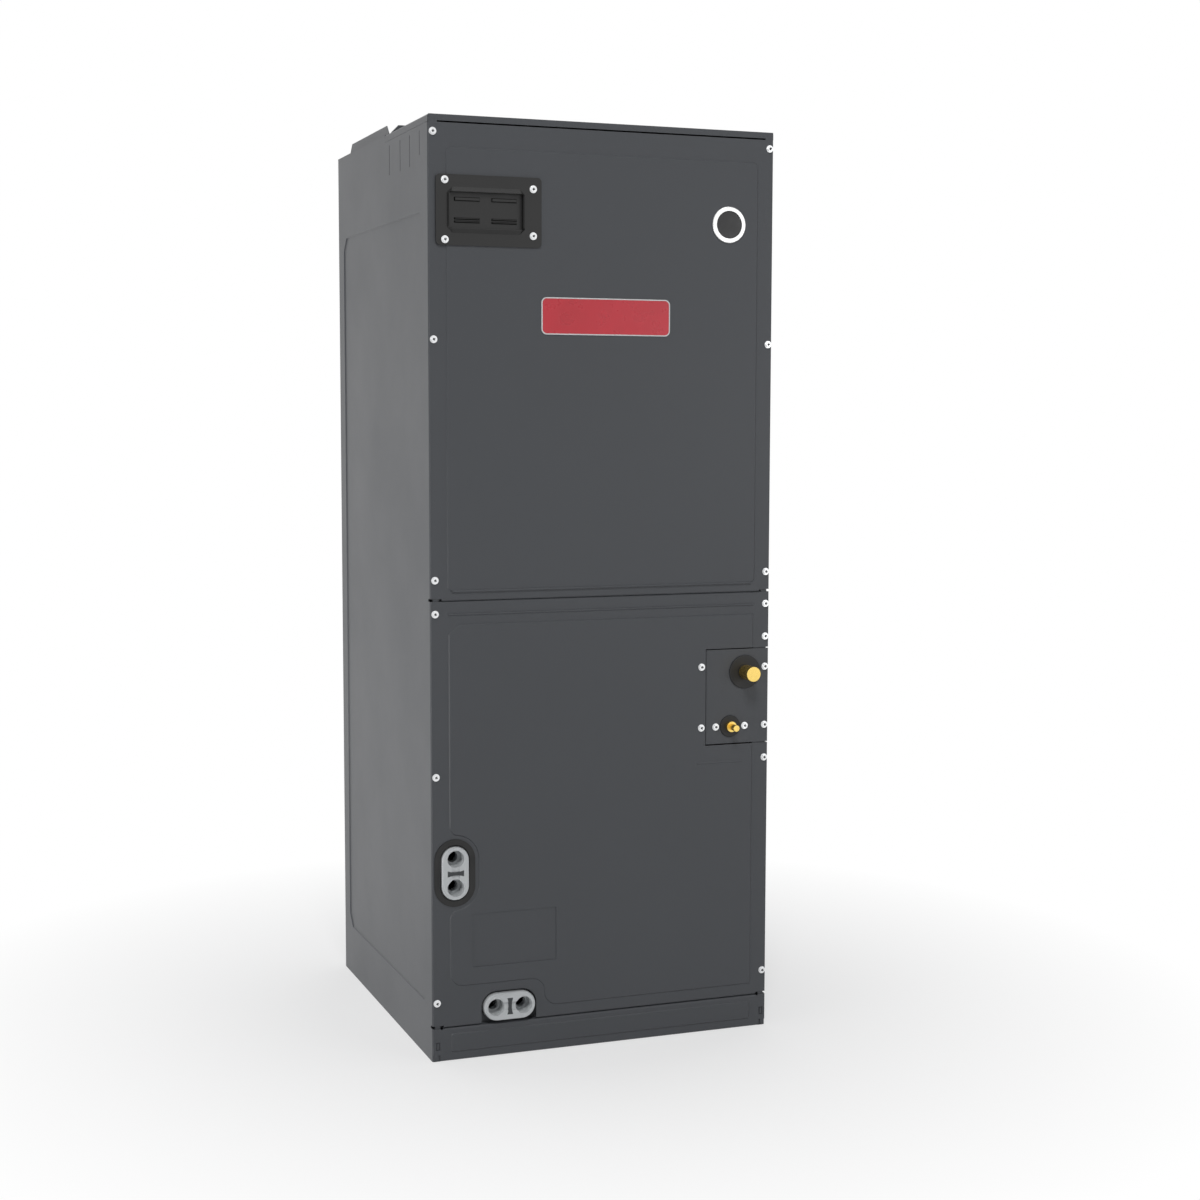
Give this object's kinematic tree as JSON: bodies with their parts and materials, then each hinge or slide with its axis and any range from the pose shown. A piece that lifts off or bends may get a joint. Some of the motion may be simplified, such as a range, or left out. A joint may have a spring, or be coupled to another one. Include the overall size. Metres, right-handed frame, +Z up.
{
  "type": "upright_multi_position_air_handler",
  "caption": "Tall grey steel air handler cabinet with two access panels, a filter door, refrigerant line stubs, drain ports, an A-shaped coil and a blower inside",
  "frame": {"origin": "on the floor, in the middle of the box that holds the cabinet and its line stubs", "axes": "+Z up, the front with its access panels faces -Y, +X to the right seen from the front"},
  "size_m": [0.5334, 0.581, 1.379],
  "materials": {
    "cabinet_paint": "satin",
    "galvanized": "satin",
    "insulation": "satin",
    "screw_zinc": "satin",
    "rubber_black": "matte",
    "copper_tube": "satin",
    "valve_brass": "satin",
    "fin_aluminium": "satin",
    "pan_plastic": "matte",
    "motor_paint": "satin",
    "shaft_steel": "satin",
    "trim_black": "matte",
    "bezel_bright": "satin",
    "lens_dark": "gloss",
    "badge_rim_grey": "satin",
    "badge_red": "satin",
    "board_green": "matte",
    "transformer_steel": "satin",
    "terminal_black": "matte",
    "filter_board": "matte",
    "filter_cloth": "matte"
  },
  "bodies": {
    "cabinet": {"left_side_panel": "cabinet_paint", "right_side_panel": "cabinet_paint", "top_panel": "cabinet_paint", "tubing_plate": "cabinet_paint", "back_panel": "galvanized", "base_frame": "galvanized", "inner_rails": "galvanized", "front_sill": "galvanized", "front_center_rail": "galvanized", "blower_deck": "galvanized", "plenum_wall": "galvanized", "heater_blank_plate": "galvanized", "blower_side_left": "galvanized", "blower_side_right": "galvanized", "blower_scroll_wrap": "galvanized", "blower_cutoff": "galvanized", "blower_inlet_rings": "galvanized", "motor_band": "galvanized", "motor_arms": "galvanized", "control_box": "galvanized", "coil_tube_sheets": "galvanized", "coil_top_cap": "galvanized", "coil_baffles": "galvanized", "cabinet_liner": "insulation", "tubing_plate_screws": "screw_zinc", "line_grommets": "rubber_black", "suction_manifold": "copper_tube", "liquid_line": "copper_tube", "distributor_tubes": "copper_tube", "coil_return_bends": "copper_tube", "expansion_valve": "valve_brass", "distributor": "valve_brass", "coil_slab_left": "fin_aluminium", "coil_slab_right": "fin_aluminium", "floor_drain_pan": "pan_plastic", "side_drain_pan": "pan_plastic", "motor_shell": "motor_paint", "motor_end_bells": "motor_paint", "control_board": "board_green", "transformer": "transformer_steel", "terminal_block": "terminal_black"},
    "wheel": {"blower_wheel": "galvanized", "wheel_hub": "galvanized", "motor_shaft": "shaft_steel"},
    "upper_panel": {"upper_access_panel": "cabinet_paint", "upper_panel_liner": "insulation", "upper_panel_screws": "screw_zinc", "breaker_cover": "trim_black", "breaker_cover_screws": "screw_zinc", "sight_glass_bezel": "bezel_bright", "sight_glass_lens": "lens_dark", "badge_rim": "badge_rim_grey", "badge_plate": "badge_red"},
    "lower_panel": {"lower_access_panel": "cabinet_paint", "lower_panel_liner": "insulation", "lower_panel_screws": "screw_zinc", "drain_port_gasket": "rubber_black"},
    "door": {"filter_door": "cabinet_paint"},
    "filter": {"air_filter_frame": "filter_board", "air_filter_media": "filter_cloth"}
  },
  "joints": [
    {"name": "blower_spin", "type": "hinge", "parent": "cabinet", "child": "wheel", "pos_m": [0, 0.0565, 0.92394], "axis": [1, 0, 0], "continuous": true},
    {"name": "upper_panel_removal", "type": "slide", "parent": "cabinet", "child": "upper_panel", "axis": [0, -1, 0], "range_m": [0, 0.35]},
    {"name": "lower_panel_removal", "type": "slide", "parent": "cabinet", "child": "lower_panel", "axis": [0, -1, 0], "range_m": [0, 0.3]},
    {"name": "filter_door_removal", "type": "slide", "parent": "cabinet", "child": "door", "axis": [0, -1, 0], "range_m": [0, 0.6]},
    {"name": "filter_slide", "type": "slide", "parent": "cabinet", "child": "filter", "axis": [0, -1, 0], "range_m": [0, 0.54]}
  ],
  "couplings": [
    {"joint": "filter_slide", "follows": "filter_door_removal", "ratio": 0.9}
  ]
}
